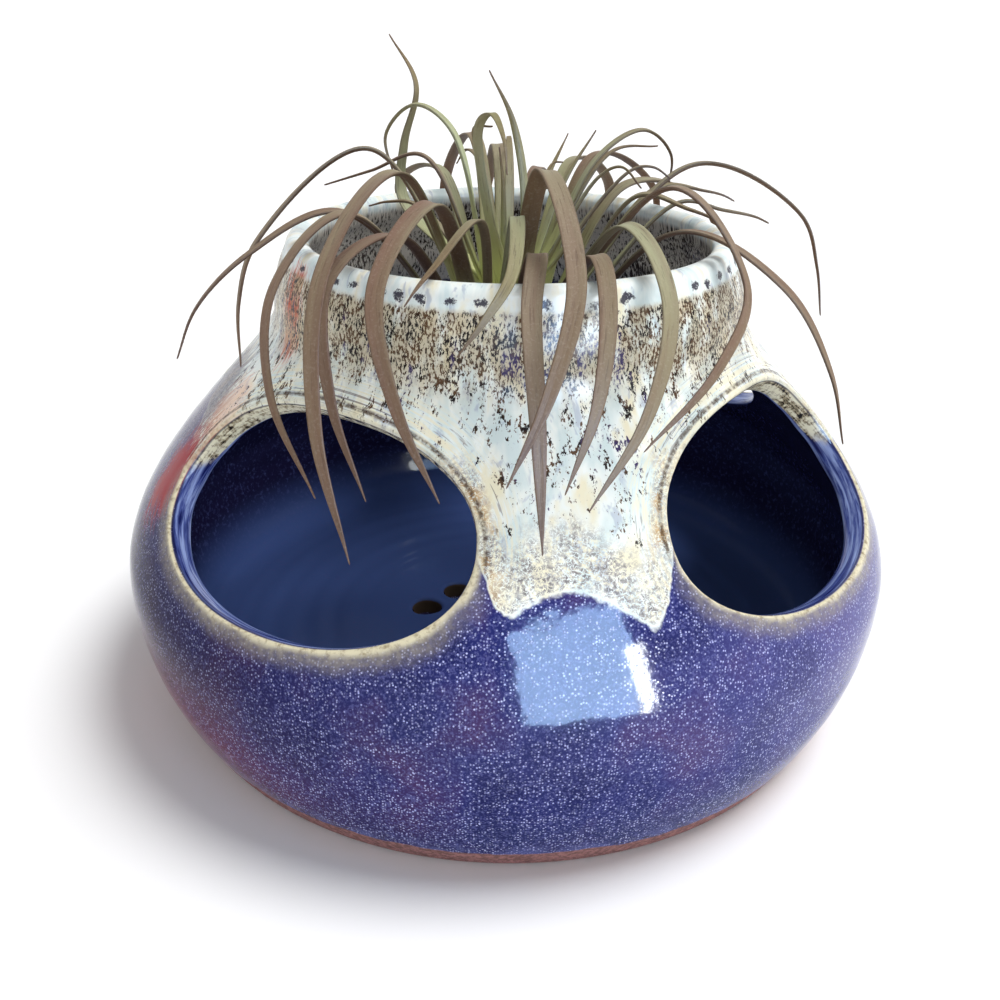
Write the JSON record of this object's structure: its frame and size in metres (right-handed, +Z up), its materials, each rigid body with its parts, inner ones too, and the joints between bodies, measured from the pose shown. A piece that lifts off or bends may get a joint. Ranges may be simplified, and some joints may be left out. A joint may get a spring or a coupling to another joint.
{
  "type": "strawberry pot",
  "caption": "Squat round glazed stoneware strawberry pot with wide openings in its shoulder, a short collar neck, drain holes in its floor and a lift-out air plant in its mouth.",
  "frame": {"origin": "centre of the pot's flat base, on the surface it stands on", "axes": "+Z up along the pot's axis, -Y towards the viewer of the picture, +X to that viewer's right"},
  "size_m": [0.23, 0.23, 0.1862],
  "materials": {
    "pot_glaze": "glossy blue and milky white reactive glaze over stoneware, bare clay at the foot",
    "stem": "dry fibrous plant stump",
    "hanging_leaf": "satin grey-brown leaf with a fine pale bloom",
    "crown_leaf": "satin olive-green leaf with a fine pale bloom"
  },
  "bodies": {
    "pot": {"pot_body": "pot_glaze"},
    "plant": {"plant_stem": "stem", "leaf_back_1": "hanging_leaf", "leaf_back_2": "hanging_leaf", "leaf_back_3": "hanging_leaf", "leaf_left_arch": "hanging_leaf", "leaf_left_low": "hanging_leaf", "leaf_left_front": "hanging_leaf", "leaf_left_wide": "hanging_leaf", "leaf_opening_1": "hanging_leaf", "leaf_opening_2": "hanging_leaf", "leaf_front_short": "hanging_leaf", "leaf_front_pale": "hanging_leaf", "leaf_front_wide": "hanging_leaf", "leaf_front_arch": "hanging_leaf", "leaf_front_right": "hanging_leaf", "leaf_right_front": "hanging_leaf", "leaf_right_sweep": "hanging_leaf", "leaf_right_long": "hanging_leaf", "leaf_right_short": "hanging_leaf", "leaf_right_tip_1": "hanging_leaf", "leaf_right_arch": "hanging_leaf", "leaf_right_tip_2": "hanging_leaf", "leaf_back_right_1": "hanging_leaf", "leaf_back_right_2": "hanging_leaf", "leaf_back_4": "hanging_leaf", "leaf_back_5": "hanging_leaf", "crown_leaf_back": "crown_leaf", "crown_leaf_back_left": "crown_leaf", "crown_leaf_tall": "crown_leaf", "crown_leaf_left_low": "crown_leaf", "crown_leaf_left_thin": "crown_leaf", "crown_leaf_green_arch": "crown_leaf", "crown_leaf_front_curl": "crown_leaf", "crown_leaf_right_curl": "crown_leaf", "crown_leaf_right_low": "crown_leaf", "crown_leaf_right_arch": "crown_leaf", "crown_leaf_right_thin": "crown_leaf", "crown_leaf_spike_1": "crown_leaf", "crown_leaf_spike_2": "crown_leaf", "heart_leaf_left": "crown_leaf", "heart_leaf_thin": "crown_leaf", "heart_leaf_spike": "crown_leaf", "heart_leaf_stub": "crown_leaf", "heart_leaf_hook": "crown_leaf"}
  },
  "joints": [
    {"name": "plant_lift", "type": "slide", "parent": "pot", "child": "plant", "axis": [0, 0, 1], "range_m": [0, 0.15]}
  ]
}
